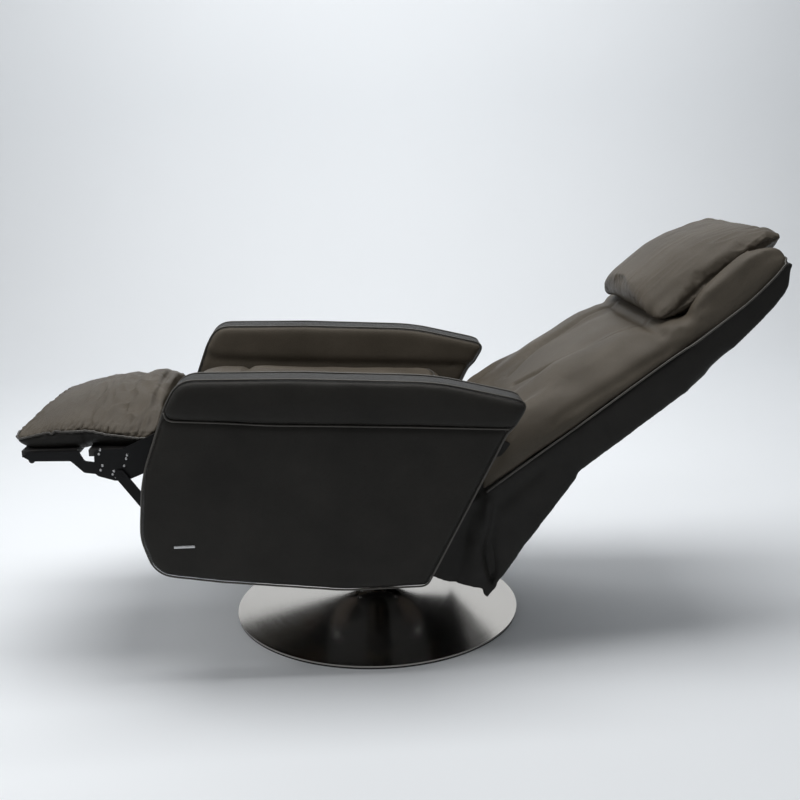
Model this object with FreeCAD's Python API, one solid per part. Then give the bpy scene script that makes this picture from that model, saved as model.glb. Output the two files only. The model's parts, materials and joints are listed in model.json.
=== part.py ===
import FreeCAD, Part
import os
from math import sin, cos, tan, acos, radians, hypot

# Star base swivel recliner, in millimetres, shown reclined with its footrest out.
# The origin is on the swivel axis at the floor. The sitter faces -Y, and +X is the sitter's left.

# Small gaps
seat_gap = 0.3
side_gap = 2.0
running_gap = 0.05
open_pivot_gap = 0.5

# Base
base_radius = 312.0
ring_height = 4.0
ring_width = 42.0
lip_height = 7.0
lip_width = 3.0
cover_sheet = 1.5
cover_slope = 0.078
flare_reach = 400.0
flare_inset = 11.0
neck_radius = 33.0
neck_top = 84.0
plate_thickness = 3.2
plate_inset = 27.0
ballast_radius = 190.0
ballast_thickness = 5.8
foot_radius = 55.0
foot_thickness = 6.0
column_radius = 30.0
column_bore = 25.0
column_top = 196.0
bush_length = 30.0
washer_thickness = 3.0
spindle_radius = 16.0
spindle_length = 150.0
collar_thickness = 7.0
bolt_radius = 4.0
bolt_head_radius = 7.0
bolt_head_height = 5.0
base_bolt_circle = 44.0

# Widths, from the middle outwards: each plate and bar stands beside the one before it
back_half_width = 262.0
back_board_thickness = 20.0
upright_thickness = 6.0
side_plate_thickness = 4.0
bar_thickness = 4.0
flap_thickness = 11.0
arm_clearance = 9.0
upright_x = back_half_width - back_board_thickness - upright_thickness
side_plate_x = upright_x + upright_thickness + side_gap
foot_plate_x = side_plate_x + side_plate_thickness + side_gap
coupler_x = foot_plate_x + bar_thickness + side_gap
toe_bar_x = foot_plate_x - side_gap - bar_thickness
pad_half_width = foot_plate_x - side_gap / 2
flap_x = back_half_width - flap_thickness - side_gap / 2
arm_inner_x = back_half_width + arm_clearance
head_half_width = back_half_width - side_gap
pillow_half_width = 210.0

# Seat frame
swivel_plate_size = 260.0
swivel_plate_thickness = 6.0
beam_offset = 110.0
beam_width = 40.0
beam_height = 40.0
swivel_bolt_x = 90.0
rail_thickness = 22.0
rail_bottom = 340.0
rail_height = 40.0
rail_front = -335.0
rail_rear = 180.0
webbing_thickness = 5.0

# Arms
arm_thickness = 74.0
arm_roll_bulge = 5.0
arm_mount_front = -210.0
arm_mount_rear = -60.0
arm_mount_bottom = 230.0
arm_mount_top = 336.0

# Back
back_pivot = (235.0, 400.0)
back_angle = radians(34.6)
back_board_front = -30.0
back_board_rear_low = -95.0
back_board_rear_high = -84.0
back_panel_thickness = 16.0
back_top = 434.0
back_elbow = 112.0
skirt_thickness = 12.0
skirt_length = 306.0
skirt_step = 6.0
skirt_angle = radians(19.6)
flap_radius = 265.0
hub_radius = 54.0
upright_width = 30.0
upright_n = -49.0
crank_arm = 80.0
cross_tube_radius = 8.0
cross_tube_drop = 60.0
lumbar = 200.0
lumbar_depth = 46.0
shoulder_drop = 94.0

# Head
head_pivot_u = 467.0
head_pivot_n = -60.0
head_angle = radians(42.0)
head_tube_radius = 9.0
head_board_thickness = 16.0
head_length = 172.0
head_roll = 29.0

# Footrest linkage: four pivots of a parallelogram, seen from the side
foot_pivot = (-395.0, 470.0)
crank_pivot = (-291.0, 323.0)
crank_tip = (-390.0, 255.0)
toe_pivot = (-528.0, 412.0)
bar_width = 24.0
stud_radius = 5.0
foot_stud_radius = 6.0
back_stud_radius = 7.0
stud_cap_lip = 3.5
stud_cap_height = 2.5
stud_end = 0.5
crank_tube_radius = 10.0
spring_lug = 30.0
spring_lug_width = 14.0
spring_lug_thickness = 4.0
spring_lug_offset = 8.0
foot_board_bottom = 439.0
foot_board_thickness = 13.0
calf_front = -552.0
calf_rear = -425.0
toe_front = -692.0
toe_rear = -557.0
toe_board_gap = 18.0
toe_board_setback = 12.0
toe_bar_drop = 7.0
calf_crown = 517.0
calf_crown_front = 506.0
calf_overhang = 13.0
toe_crown_front = 487.0
toe_crown_rear = 502.0
toe_nose = 18.0
bumper_radius = 6.0

# Gas springs and release
spring_offset_x = 60.0
spring_radius = 11.0
rod_radius = 4.0
back_spring_z = 322.0
foot_spring_z = 297.0
spring_eye_gap = 2.6
spring_pin_gap = 1.2
spring_eye_wall = 5.0
back_cylinder_front = -90.0
back_cylinder_rear = 100.0
foot_cylinder_front = -150.0
foot_cylinder_rear = 90.0
cylinder_end = 20.0
back_rod_start = -40.0
foot_rod_end = 20.0
bracket_gap = 10.0
bracket_cheek = 6.0
bracket_reach = 12.0
spring_eye_width = 8.0
rod_eye_width = 12.0
fork_width = 10.0
fork_slot = 18.0
fork_height = 28.0
lever_axis = (-150.0, 322.0)
lever_shaft_radius = 5.0
lever_length = 125.0
lever_thickness = 12.0
lever_width = 26.0
lever_angle = radians(20.0)
finger_length = 34.0
finger_width = 12.0
finger_thickness = 5.0
finger_gap = 10.0


def vec(x, point):
    return FreeCAD.Vector(x, point[0], point[1])


def from_frame(origin, angle, along, out):
    """Side view point at a distance along a slope and out from its front."""
    y = origin[0] + along * cos(angle) - out * sin(angle)
    z = origin[1] + along * sin(angle) + out * cos(angle)
    return (y, z)


def back(along, out):
    return from_frame(back_pivot, back_angle, along, out)


head_pivot = back(head_pivot_u, head_pivot_n)


def head(along, out):
    return from_frame(head_pivot, head_angle, along, out)


def inset(points, depth):
    """Corners of an outline after all its sides move inwards."""
    area = sum(p[0] * q[1] - q[0] * p[1] for p, q in zip(points, points[1:] + points[:1]))
    turn = 1.0 if area > 0 else -1.0
    moved = []
    for index, corner in enumerate(points):
        before = points[index - 1]
        after = points[(index + 1) % len(points)]
        a = unit(before, corner)
        b = unit(corner, after)
        normal_a = (-a[1] * turn, a[0] * turn)
        normal_b = (-b[1] * turn, b[0] * turn)
        scale = depth / (1.0 + normal_a[0] * normal_b[0] + normal_a[1] * normal_b[1])
        moved.append((corner[0] + scale * (normal_a[0] + normal_b[0]),
                      corner[1] + scale * (normal_a[1] + normal_b[1])))
    return moved


def unit(start, end):
    length = hypot(end[0] - start[0], end[1] - start[1])
    return ((end[0] - start[0]) / length, (end[1] - start[1]) / length)


def bend(start, middle, end):
    """Arc through three points, or a straight edge where they are in line."""
    if middle.distanceToLine(start, end - start) < 0.001:
        return Part.LineSegment(start, end).toShape()
    return Part.Arc(start, middle, end).toShape()


def outline(corners, x, depth=0.0):
    """Closed side view wire from corners (y, z, radius), with each corner rounded."""
    points = [(y, z) for y, z, radius in corners]
    moved = inset(points, depth) if depth else points
    arcs = []
    for index, corner in enumerate(moved):
        back_way = unit(corner, moved[index - 1])
        on_way = unit(corner, moved[(index + 1) % len(moved)])
        angle = acos(max(-1.0, min(1.0, back_way[0] * on_way[0] + back_way[1] * on_way[1])))
        radius = max(corners[index][2] - depth, 1.0)
        reach = radius / tan(angle / 2)
        bisector = unit((0, 0), (back_way[0] + on_way[0], back_way[1] + on_way[1]))
        dip = radius / sin(angle / 2) - radius
        arcs.append(((corner[0] + back_way[0] * reach, corner[1] + back_way[1] * reach),
                     (corner[0] + bisector[0] * dip, corner[1] + bisector[1] * dip),
                     (corner[0] + on_way[0] * reach, corner[1] + on_way[1] * reach)))
    edges = []
    for index, (start, middle, end) in enumerate(arcs):
        edges.append(Part.LineSegment(vec(x, arcs[index - 1][2]), vec(x, start)).toShape())
        edges.append(bend(vec(x, start), vec(x, middle), vec(x, end)))
    return Part.Wire(edges)


def slab(corners, x_low, x_high):
    """Side view outline with rounded corners, carried straight across."""
    face = Part.Face(outline(corners, x_low))
    return face.extrude(FreeCAD.Vector(x_high - x_low, 0, 0))


def pad(corners, stations):
    """Soft form whose outline draws in by a depth at each place across."""
    wires = [outline(corners, x, depth) for x, depth in stations]
    return Part.makeLoft(wires, True, False)


def both_ways(half, depth):
    """Stations from one side to the other, drawn in by a depth at both ends."""
    shares = ((1, 1), (0.985, 0.65), (0.94, 0.36), (0.84, 0.14), (0.6, 0.03), (0.3, 0.005), (0, 0))
    low = [(-half * share, depth * part) for share, part in shares]
    high = [(half * share, depth * part) for share, part in reversed(shares) if share > 0]
    return low + high


def rod(x_low, x_high, point, radius):
    axis = FreeCAD.Vector(1, 0, 0)
    return Part.makeCylinder(radius, x_high - x_low, vec(x_low, point), axis)


def post(x, y, z_low, z_high, radius):
    return Part.makeCylinder(radius, z_high - z_low, FreeCAD.Vector(x, y, z_low))


def bar_along_y(x, y_low, y_high, z, radius):
    axis = FreeCAD.Vector(0, 1, 0)
    return Part.makeCylinder(radius, y_high - y_low, FreeCAD.Vector(x, y_low, z), axis)


def block(x_low, x_high, y_low, y_high, z_low, z_high):
    corner = FreeCAD.Vector(x_low, y_low, z_low)
    return Part.makeBox(x_high - x_low, y_high - y_low, z_high - z_low, corner)


def on_side(side, x_near, x_far):
    """Low and high X of a slab on the left (+1) or right (-1)."""
    return (x_near, x_far) if side > 0 else (-x_far, -x_near)


def link(start, end, width, x_low, x_high):
    """Flat bar with rounded ends between two side view points."""
    along = unit(start, end)
    across = (-along[1] * width / 2, along[0] * width / 2)
    corners = [(start[0] + across[0], start[1] + across[1]), (end[0] + across[0], end[1] + across[1]),
               (end[0] - across[0], end[1] - across[1]), (start[0] - across[0], start[1] - across[1])]
    wire = Part.makePolygon([vec(x_low, p) for p in corners + corners[:1]])
    bar = Part.Face(wire).extrude(FreeCAD.Vector(x_high - x_low, 0, 0))
    return bar.fuse([rod(x_low, x_high, p, width / 2) for p in (start, end)]).removeSplitter()


def save(name, shape):
    shape.exportStep("parts/" + name + ".step")


# Base

def cover_height(radius):
    """Height of the spun cover: a gentle slope that flares up to the neck."""
    flare = flare_reach / (radius - neck_radius + flare_inset)
    flare_at_rim = flare_reach / (base_radius - neck_radius + flare_inset)
    return lip_height + cover_slope * (base_radius - radius) + flare - flare_at_rim


def cover_curve(depth, first_radius):
    """Spline of the cover's outer face, or of its inner face at a depth."""
    points = []
    steps = 12
    for step in range(steps + 1):
        share = step / steps
        radius = neck_radius + (first_radius - neck_radius) * (1 - share) ** 2.2
        slope = (cover_height(radius + 0.1) - cover_height(radius)) / 0.1
        length = hypot(slope, 1)
        points.append(FreeCAD.Vector(radius + depth * slope / length, 0,
                                     cover_height(radius) - depth / length))
    curve = Part.BSplineCurve()
    curve.interpolate(points)
    return curve.toShape(), points[0], points[-1]


def base_cover():
    outer, rim, neck_out = cover_curve(0.0, base_radius)
    inner, rim_in, neck_in = cover_curve(cover_sheet, base_radius - lip_width)
    foot_out = FreeCAD.Vector(base_radius, 0, ring_height)
    foot_in = FreeCAD.Vector(rim_in.x, 0, ring_height)
    top_out = FreeCAD.Vector(neck_out.x, 0, neck_top)
    top_in = FreeCAD.Vector(neck_in.x, 0, neck_top)
    edges = [Part.makeLine(foot_out, rim), outer, Part.makeLine(neck_out, top_out),
             Part.makeLine(top_out, top_in), Part.makeLine(top_in, neck_in), inner,
             Part.makeLine(rim_in, foot_in), Part.makeLine(foot_in, foot_out)]
    face = Part.Face(Part.Wire(Part.__sortEdges__(edges)))
    return face.revolve(FreeCAD.Vector(0, 0, 0), FreeCAD.Vector(0, 0, 1), 360)


def ring(z_low, z_high, outer, inner):
    return post(0, 0, z_low, z_high, outer).cut(post(0, 0, z_low, z_high, inner))


def bolt_places(count, circle):
    step = radians(360 / count)
    return [(circle * cos(step * (i + 0.5)), circle * sin(step * (i + 0.5))) for i in range(count)]


def make_base():
    plate_top = ring_height + plate_thickness
    ballast_top = plate_top + ballast_thickness
    foot_top = ballast_top + foot_thickness
    places = bolt_places(4, base_bolt_circle)
    shanks = [post(x, y, ring_height, foot_top, bolt_radius) for x, y in places]
    heads = [post(x, y, foot_top, foot_top + bolt_head_height, bolt_head_radius) for x, y in places]
    save("base_cover", base_cover())
    save("floor_ring", ring(0, ring_height, base_radius - 1.0, base_radius - ring_width))
    plate = post(0, 0, ring_height, plate_top, base_radius - plate_inset)
    plate = plate.fuse(post(0, 0, plate_top, ballast_top, ballast_radius))
    save("base_plate", plate.cut(shanks).removeSplitter())
    column = post(0, 0, ballast_top, column_top, column_radius)
    column = column.fuse(post(0, 0, ballast_top, foot_top, foot_radius))
    column = column.cut(post(0, 0, ballast_top, column_top, column_bore))
    save("column_tube", column.cut(shanks).removeSplitter())
    save("base_bolts", Part.makeCompound([s.fuse(h).removeSplitter() for s, h in zip(shanks, heads)]))
    bush_bore = spindle_radius + running_gap
    low_bush = column_top - spindle_length + bush_length / 2
    bushes = [ring(bottom, bottom + bush_length, column_bore, bush_bore)
              for bottom in (low_bush, column_top - bush_length)]
    save("column_bushes", Part.makeCompound(bushes))
    save("thrust_washer", ring(column_top, column_top + washer_thickness, column_radius, bush_bore + 0.5))


# Seat frame

seat_bottom = column_top + washer_thickness
beam_bottom = seat_bottom + collar_thickness + swivel_plate_thickness
beam_top = beam_bottom + beam_height


def make_swivel():
    plate_bottom = seat_bottom + collar_thickness
    shaft = post(0, 0, column_top - spindle_length, plate_bottom, spindle_radius)
    save("spindle", shaft.fuse(post(0, 0, seat_bottom, plate_bottom, column_radius)).removeSplitter())
    places = [(sx * swivel_bolt_x, sy * beam_offset) for sx in (-1, 1) for sy in (-1, 1)]
    shanks = [post(x, y, plate_bottom, beam_top, bolt_radius) for x, y in places]
    heads = [post(x, y, plate_bottom - bolt_head_height, plate_bottom, bolt_head_radius) for x, y in places]
    half = swivel_plate_size / 2
    plate = block(-half, half, -half, half, plate_bottom, beam_bottom)
    save("swivel_plate", plate.cut(shanks))
    save("swivel_bolts", Part.makeCompound([s.fuse(h).removeSplitter() for s, h in zip(shanks, heads)]))
    for name, place in (("front", -beam_offset), ("rear", beam_offset)):
        beam = block(-side_plate_x, side_plate_x, place - beam_width / 2, place + beam_width / 2,
                     beam_bottom, beam_top)
        save("subframe_beam_" + name, beam.cut(shanks))


def side_plate_corners():
    """Outline of the plate that carries the footrest, crank and back pivots."""
    rear_y, rear_z = back_pivot
    front_y, front_z = foot_pivot
    crank_y, crank_z = crank_pivot
    return [(front_y - 17, front_z + 17, 16), (front_y + 105, front_z + 16, 20),
            (front_y + 205, rear_z + 34, 30), (rear_y - 30, rear_z + 28, 20), (rear_y + 27, rear_z + 28, 26),
            (rear_y + 27, rear_z - 28, 26), (rear_y - 85, rail_bottom + 6, 20),
            (beam_offset + beam_width / 2 + 10, beam_bottom, 8),
            (-beam_offset - beam_width / 2 - 10, beam_bottom, 8),
            (arm_mount_front - 10, crank_z - 40, 20), (crank_y - 19, crank_z - 20, 14),
            (crank_y - 19, crank_z + 24, 14), (crank_y + 4, front_z - 70, 20),
            (front_y + 48, front_z - 17, 14), (front_y - 17, front_z - 17, 16)]


def make_side_plates():
    for name, side in (("left", 1), ("right", -1)):
        near, far = on_side(side, side_plate_x, side_plate_x + side_plate_thickness)
        plate = slab(side_plate_corners(), near, far)
        plate = plate.cut(rod(near, far, crank_pivot, crank_tube_radius + running_gap))
        foot_cap = foot_plate_x + bar_thickness + stud_cap_height
        plate = plate.fuse(rod(*on_side(side, side_plate_x, foot_cap), foot_pivot, foot_stud_radius))
        low, high = on_side(side, foot_plate_x + bar_thickness + seat_gap, foot_cap)
        plate = plate.fuse(rod(low, high, foot_pivot, foot_stud_radius + stud_cap_lip))
        back_cap = upright_x - stud_cap_height
        plate = plate.fuse(rod(*on_side(side, back_cap, side_plate_x), back_pivot, back_stud_radius))
        low, high = on_side(side, back_cap, upright_x - seat_gap)
        plate = plate.fuse(rod(low, high, back_pivot, back_stud_radius + stud_cap_lip))
        if side < 0:
            plate = plate.cut(rod(near, far, lever_axis, lever_shaft_radius + running_gap))
        save("side_plate_" + name, plate.removeSplitter())


def make_seat_rails():
    rail_top = rail_bottom + rail_height
    inner = side_plate_x - rail_thickness
    for name, side in (("left", 1), ("right", -1)):
        low, high = on_side(side, inner, side_plate_x)
        save("seat_rail_" + name, block(low, high, rail_front, rail_rear, rail_bottom, rail_top))
    cross_rails = [block(-inner, inner, place, place + rail_thickness, rail_bottom, rail_top)
                   for place in (rail_front, rail_rear - rail_thickness)]
    save("seat_cross_rails", Part.makeCompound(cross_rails))
    save("seat_webbing", block(-side_plate_x + side_gap, side_plate_x - side_gap, rail_front, rail_rear,
                               rail_top, rail_top + webbing_thickness))


seat_top_front = 540.0
seat_top_rear = 484.0
seat_front = foot_pivot[0] + 33.0
seat_rear = rail_rear - 2.0
crown_bottom = foot_pivot[1] + 24.0


def make_seat_cushion():
    """Foam core between the side plates, under a crown that spreads over them."""
    bottom = rail_bottom + rail_height + webbing_thickness
    core = [(seat_front, bottom, 8), (seat_rear, bottom, 8), (seat_rear, seat_top_rear - 20, 12),
            (seat_front, crown_bottom + 20, 8)]
    crown = [(seat_front - 34, crown_bottom, 8), (seat_front + 90, crown_bottom, 40),
             (seat_front + 230, seat_top_rear - 32, 60), (seat_rear, seat_top_rear - 34, 8),
             (seat_rear, seat_top_rear - 4, 16), (seat_rear - 80, seat_top_rear + 10, 80),
             (seat_front + 120, seat_top_front - 4, 90), (seat_front + 20, seat_top_front + 2, 36),
             (seat_front - 36, seat_top_front - 14, 20)]
    half = arm_inner_x - side_gap - 3
    lower = slab(core, -side_plate_x + 4, side_plate_x - 4)
    upper = pad(crown, both_ways(half, 9.0))
    save("seat_cushion", lower.fuse(upper).removeSplitter())


# Arms

arm_core_corners = [(-391, 546, 4), (-438, 420, 300), (-449, 303, 90), (-426, 228, 52), (-300, 208, 60),
                    (-70, 182, 300), (88, 184, 8), (246, 491, 3), (40, 502, 400), (-200, 513, 400),
                    (-366, 525, 12)]
arm_pad_corners = [(-391, 546, 3), (-361, 602, 46), (-150, 598, 500), (110, 584, 500), (258, 548, 50),
                   (280, 538, 9), (252, 491, 4), (40, 502, 400), (-200, 513, 400), (-366, 525, 12)]


def arm_stations(side, bulge):
    """Places across an arm, from its inner face to its outer one."""
    middle = arm_inner_x + arm_thickness / 2
    shares = ((-1, 12), (-0.92, 5), (-0.76, 1.5), (-0.4, 0.2), (0, 0), (0.4, 0.1), (0.76, 0.7),
              (0.92, 3), (1, 7))
    stations = [(side * (middle + share * (arm_thickness / 2 + bulge)), depth) for share, depth in shares]
    return stations if side > 0 else stations[::-1]


def make_arms():
    mounts = []
    for name, side in (("left", 1), ("right", -1)):
        core_shape = pad(arm_core_corners, arm_stations(side, 0.0))
        roll = pad(arm_pad_corners, arm_stations(side, arm_roll_bulge))
        core_shape = core_shape.cut(roll)
        near, far = on_side(side, side_plate_x + side_plate_thickness, arm_inner_x)
        mount = block(near, far, arm_mount_front, arm_mount_rear, arm_mount_bottom, arm_mount_top)
        if side < 0:
            low, high = on_side(side, side_plate_x, arm_inner_x + arm_thickness + 5)
            core_shape = core_shape.cut(rod(low, high, lever_axis, lever_shaft_radius + running_gap))
            mount = mount.cut(rod(low, high, lever_axis, lever_shaft_radius + side_gap))
        save("arm_core_" + name, core_shape)
        save("arm_pad_" + name, roll)
        mounts.append(mount)
    save("arm_mounts", Part.makeCompound(mounts))


# Back

crank_eye = (back_pivot[0] - crank_arm * sin(radians(17.5)), back_pivot[1] - crank_arm * cos(radians(17.5)))


def back_outline(points, radius):
    return [back(u, n) + (radius,) for u, n in points]


def make_back_frame():
    half = upright_width / 2
    bottom = -crank_arm
    lug = back_outline([(-20, upright_n + half - 1), (-20, 12), (20, 12), (20, upright_n + half - 1)], 2)
    bar = back_outline([(bottom, upright_n - half), (bottom, upright_n + half),
                        (head_pivot_u - 12, upright_n + half), (head_pivot_u + 16, head_pivot_n + 16),
                        (head_pivot_u + 16, head_pivot_n - 16)], 10)
    for name, side in (("left", 1), ("right", -1)):
        low, high = on_side(side, upright_x, upright_x + upright_thickness)
        upright = slab(bar, low, high).fuse(slab(lug, low, high))
        upright = upright.cut([rod(low, high, back_pivot, back_stud_radius + running_gap),
                               rod(low, high, head_pivot, head_tube_radius + running_gap),
                               rod(low, high, crank_eye, cross_tube_radius)])
        save("back_upright_" + name, upright.removeSplitter())
    reach = upright_x + upright_thickness
    tubes = [rod(-reach, reach, crank_eye, cross_tube_radius),
             rod(-upright_x, upright_x, back(back_top - cross_tube_drop, upright_n), cross_tube_radius)]
    save("back_cross_tubes", Part.makeCompound(tubes))


def back_cushion_outline(x, lumbar_crown, shoulder_crown):
    """Section of the back cushion, whose front stands out by a crown low down and another high up."""
    belly = lumbar_crown - lumbar_depth
    chest = shoulder_crown - lumbar_depth
    rear = back_board_front + seat_gap
    points = [(-hub_radius + 4, -hub_radius + 14, 30), (-hub_radius + 4, hub_radius - 6 + chest * 0.2, 30),
              (hub_radius + 6, 44 + belly * 0.8, 60), (lumbar, 48 + belly, 120),
              (back_top - shoulder_drop, 45 + chest, 120),
              (back_top - 26, 22 + chest * 0.5, 16), (back_top + 6, -8, 8), (back_top + 6, rear, 6),
              (50, rear, 10), (30, -hub_radius + 14, 8)]
    return outline([back(u, n) + (r,) for u, n, r in points], x)


def make_back_soft():
    """Back cushion with a bolster each side of a narrow middle panel, which swells at the lumbar."""
    crowns = ((1.0, 4, 4), (0.975, 14, 14), (0.92, 25, 25), (0.8, 37, 34), (0.66, 47, 39), (0.5, 55, 38),
              (0.44, 55, 36), (0.37, 47, 30), (0.3, 46, 32), (0, 47, 34))
    low = [(-back_half_width * share, belly, chest) for share, belly, chest in crowns]
    high = [(back_half_width * share, belly, chest) for share, belly, chest in reversed(crowns) if share > 0]
    wires = [back_cushion_outline(x, belly, chest) for x, belly, chest in low + high]
    cushion = Part.makeLoft(wires, True, False)
    for side in (1, -1):
        near, far = on_side(side, upright_x - 4, back_half_width + 5)
        cushion = cushion.cut(rod(near, far, back_pivot, hub_radius + 12))
    save("back_cushion", cushion)


def skirt_line(along, depth):
    """Point on the skirt, measured down from the elbow and in from its rear face."""
    u = back_elbow - along * cos(skirt_angle) - depth * sin(skirt_angle)
    start = back_board_rear_low - back_panel_thickness - skirt_step
    n = start - along * sin(skirt_angle) + depth * cos(skirt_angle)
    return (u, n)


def board_outline():
    """Side view of the wooden boards at the back's edges, down to the skirt."""
    tail = skirt_line(60, skirt_thickness + seat_gap)
    return back_outline([(46, back_board_front), (back_top, back_board_front),
                         (back_top, back_board_rear_high), (back_elbow + 2, back_board_rear_low),
                         tail, (20, -100)], 3)


def make_back_boards():
    board = board_outline()
    panel = back_outline([(back_elbow + 4, back_board_rear_low), (back_top, back_board_rear_high),
                          (back_top, back_board_rear_high - back_panel_thickness),
                          (back_elbow + 2, back_board_rear_low - back_panel_thickness)], 2)
    skirt = back_outline([skirt_line(0, 0), skirt_line(skirt_length, 0),
                          skirt_line(skirt_length, skirt_thickness), skirt_line(4, skirt_thickness)], 2)
    for name, side in (("left", 1), ("right", -1)):
        low, high = on_side(side, back_half_width - back_board_thickness, back_half_width)
        save("back_board_" + name, slab(board, low, high))
    save("back_panel", slab(panel, -back_half_width, back_half_width))
    save("back_skirt", slab(skirt, -back_half_width, back_half_width))


def make_side_flaps():
    """Leather gussets between the arms and the skirt, one fan about the back pivot each side."""
    hem = skirt_line(skirt_length - 14, skirt_thickness + seat_gap)
    fan = [back(*skirt_line(70, skirt_thickness + seat_gap)) + (2,), back(*hem) + (6,)]
    for angle in (-112, -130, -148):
        reach = flap_radius / cos(radians(9))
        fan.append(from_frame(back_pivot, radians(angle), reach, 0) + (120,))
    fan.append(from_frame(back_pivot, radians(-161), flap_radius, 0) + (10,))
    fan.append(from_frame(back_pivot, radians(-185), hub_radius, 0) + (20,))
    fan.append(back(-10, hub_radius + 4) + (40,))
    fan.append(back(44, 30) + (30,))
    fan.append(back(40, -60) + (4,))
    board = board_outline()
    for name, side in (("left", 1), ("right", -1)):
        low, high = on_side(side, flap_x, flap_x + flap_thickness)
        save("side_flap_" + name, slab(fan, low, high).cut(slab(board, low, high)))


# Head

def head_outline(points):
    return [head(v, m) + (r,) for v, m, r in points]


def make_head():
    reach = upright_x + upright_thickness + 1.5
    half_board = head_board_thickness / 2
    tube = rod(-reach, reach, head_pivot, head_tube_radius)
    board = head_outline([(0, -half_board, 2), (head_length, -half_board, 3),
                          (head_length, half_board, 3), (0, half_board, 2)])
    board_half = upright_x - side_gap
    save("head_tube", tube)
    save("head_board", slab(board, -board_half, board_half).cut(tube))
    shell = head_outline([(-head_roll, -half_board, 3), (-head_roll + 4, -head_roll + 2, 18),
                          (20, -head_roll + 1, 30), (head_length - 30, -20, 40),
                          (head_length + 2, -half_board, 1.2)])
    cushion = head_outline([(14, half_board + seat_gap, 14), (head_length + 6, half_board + seat_gap, 12),
                            (head_length + 42, 24, 12), (head_length + 30, 45, 20),
                            (head_length - 24, 58, 50), (10, 59, 20)])
    notches = []
    for side in (1, -1):
        low, high = on_side(side, upright_x - side_gap, upright_x + upright_thickness + side_gap)
        notches.append(rod(low, high, head_pivot, head_roll + side_gap))
    save("head_shell", slab(shell, -head_half_width, head_half_width).cut(notches + [tube]))
    save("head_cushion", pad(cushion, both_ways(head_half_width, 10.0)))
    pillow = head_outline([(-6, 80, 14), (24, 59.5, 20), (150, 59, 50), (224, 46, 20), (250, 28, 14),
                           (258, 64, 30), (206, 104, 50), (90, 130, 120), (-24, 136, 40),
                           (-52, 126, 18), (-45, 100, 9)])
    save("pillow", pad(pillow, both_ways(pillow_half_width, 22.0)))


# Footrest

coupler_tip = (crank_tip[0] + foot_pivot[0] - crank_pivot[0], crank_tip[1] + foot_pivot[1] - crank_pivot[1])
board_top = foot_board_bottom + foot_board_thickness


def foot_plate_corners():
    y, z = foot_pivot
    tip_y, tip_z = coupler_tip
    return [(y + 16, z + 14, 15), (y + 14, z - 17, 15), (tip_y + 62, tip_z + 8, 30),
            (tip_y + 10, tip_z - 13, 12), (tip_y - 12, tip_z - 12, 10), (toe_pivot[0] - 15, toe_pivot[1] - 10, 12),
            (toe_pivot[0] - 13, board_top, 8), (y - 95, board_top, 20), (y - 20, z + 15, 15)]


def make_foot_plates():
    for name, side in (("left", 1), ("right", -1)):
        low, high = on_side(side, foot_plate_x, foot_plate_x + bar_thickness)
        plate = slab(foot_plate_corners(), low, high)
        plate = plate.cut(rod(low, high, foot_pivot, foot_stud_radius + running_gap))
        inner, outer = on_side(side, toe_bar_x - side_gap / 2, foot_plate_x)
        plate = plate.fuse(rod(inner, outer, toe_pivot, stud_radius))
        inner, outer = on_side(side, foot_plate_x, coupler_x + bar_thickness + stud_end)
        plate = plate.fuse(rod(inner, outer, coupler_tip, stud_radius))
        save("foot_plate_" + name, plate.removeSplitter())


def make_foot_pads():
    save("calf_board", block(-foot_plate_x, foot_plate_x, calf_front, calf_rear, foot_board_bottom, board_top))
    inner = toe_bar_x - side_gap
    save("toe_board", block(-inner, inner, toe_front + toe_board_setback, toe_rear - toe_board_gap,
                            foot_board_bottom, board_top))
    calf = [(calf_front, board_top, 6), (calf_front, calf_crown_front, 14),
            (calf_front + 52, calf_crown - 3, 60), (calf_rear - 15, calf_crown, 40),
            (calf_rear + calf_overhang, calf_crown - 9, 16), (calf_rear + 7, calf_crown - 31, 12),
            (calf_rear - side_gap, board_top, 6)]
    toe = [(toe_front + 16, board_top, 5), (toe_front - toe_nose, board_top + 14, 12),
           (toe_front - 12, toe_crown_front, 14), (toe_front + 62, toe_crown_front + 6, 60),
           (toe_rear - side_gap, toe_crown_rear, 14), (toe_rear, board_top, 6)]
    save("calf_cushion", pad(calf, both_ways(pad_half_width, 18.0)))
    save("toe_cushion", pad(toe, both_ways(pad_half_width, 11.0)))


def make_toe_bars():
    y, z = toe_pivot
    bar = [(y + 10, z - 10, 9), (y + 10, z + 10, 9), (y - 34, z + 17, 8), (y - 44, foot_board_bottom + 10, 2),
           (toe_front + 30, foot_board_bottom + 10, 2),
           (toe_front + toe_board_setback, foot_board_bottom + 4, 3),
           (toe_front + 30, foot_board_bottom - toe_bar_drop, 3), (y - 60, foot_board_bottom - 9, 6),
           (y - 36, z - 6, 8), (y - 10, z - 10, 9)]
    for name, side in (("left", 1), ("right", -1)):
        low, high = on_side(side, toe_bar_x, toe_bar_x + bar_thickness)
        shape = slab(bar, low, high).cut(rod(low, high, toe_pivot, stud_radius + running_gap))
        save("toe_bar_" + name, shape)
    inner = toe_bar_x - seat_gap
    save("toe_bumper", rod(-inner, inner, (toe_front + 30, foot_board_bottom - bumper_radius), bumper_radius))


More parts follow.
